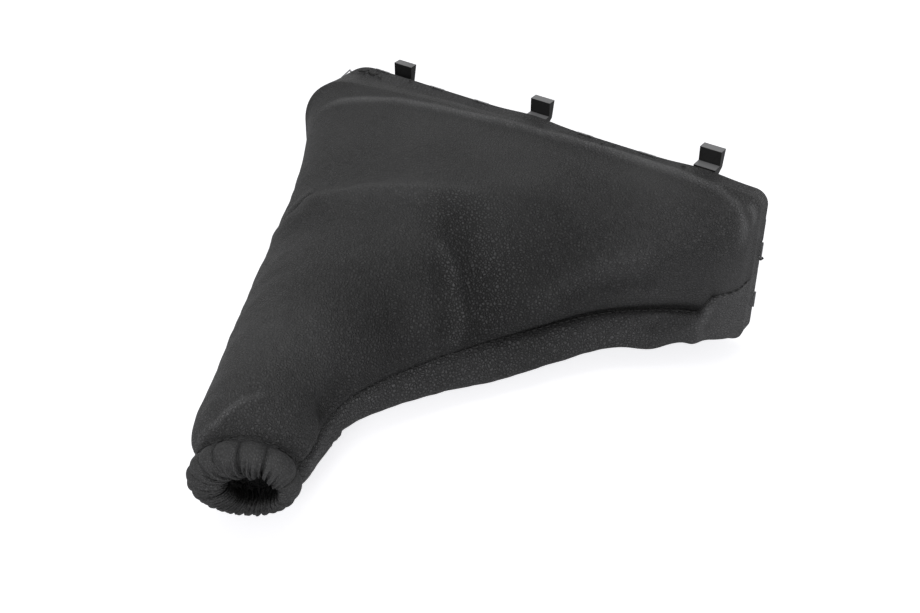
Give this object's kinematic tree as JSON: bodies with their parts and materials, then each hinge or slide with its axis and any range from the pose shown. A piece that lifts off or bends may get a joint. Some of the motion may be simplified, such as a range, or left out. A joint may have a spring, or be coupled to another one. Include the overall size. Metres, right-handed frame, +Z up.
{
  "type": "handbrake gaiter",
  "caption": "Black leatherette gaiter for a handbrake lever: a folded boot stapled over an oblong clip-in frame, narrowing to a gathered elastic neck, lying on its long side.",
  "frame": {"origin": "middle of the box of the whole part, on the floor it lies on", "axes": "+X along the clip frame, +Y from the neck to the frame's rear opening, +Z up as it lies on its long side"},
  "size_m": [0.2218, 0.2266, 0.0821],
  "materials": {
    "black_plastic": "moulded, fine matt grain",
    "black_leather": "pebbled leatherette, soft sheen",
    "hem_leather": "thin pebbled leatherette, gathered",
    "elastic": "covered elastic",
    "steel_wire": "plain wire"
  },
  "bodies": {
    "root": {"clip_frame": "black_plastic", "upper_panel": "black_leather", "lower_panel": "black_leather", "gathered_hem": "hem_leather", "elastic_ring": "elastic", "staple_top_1": "steel_wire", "staple_top_2": "steel_wire", "staple_top_3": "steel_wire", "staple_top_4": "steel_wire", "staple_top_5": "steel_wire", "staple_bottom_1": "steel_wire", "staple_bottom_2": "steel_wire", "staple_bottom_3": "steel_wire", "staple_bottom_4": "steel_wire", "staple_bottom_5": "steel_wire", "staple_right_1": "steel_wire", "staple_right_2": "steel_wire", "staple_left_1": "steel_wire", "staple_left_2": "steel_wire"}
  },
  "joints": []
}
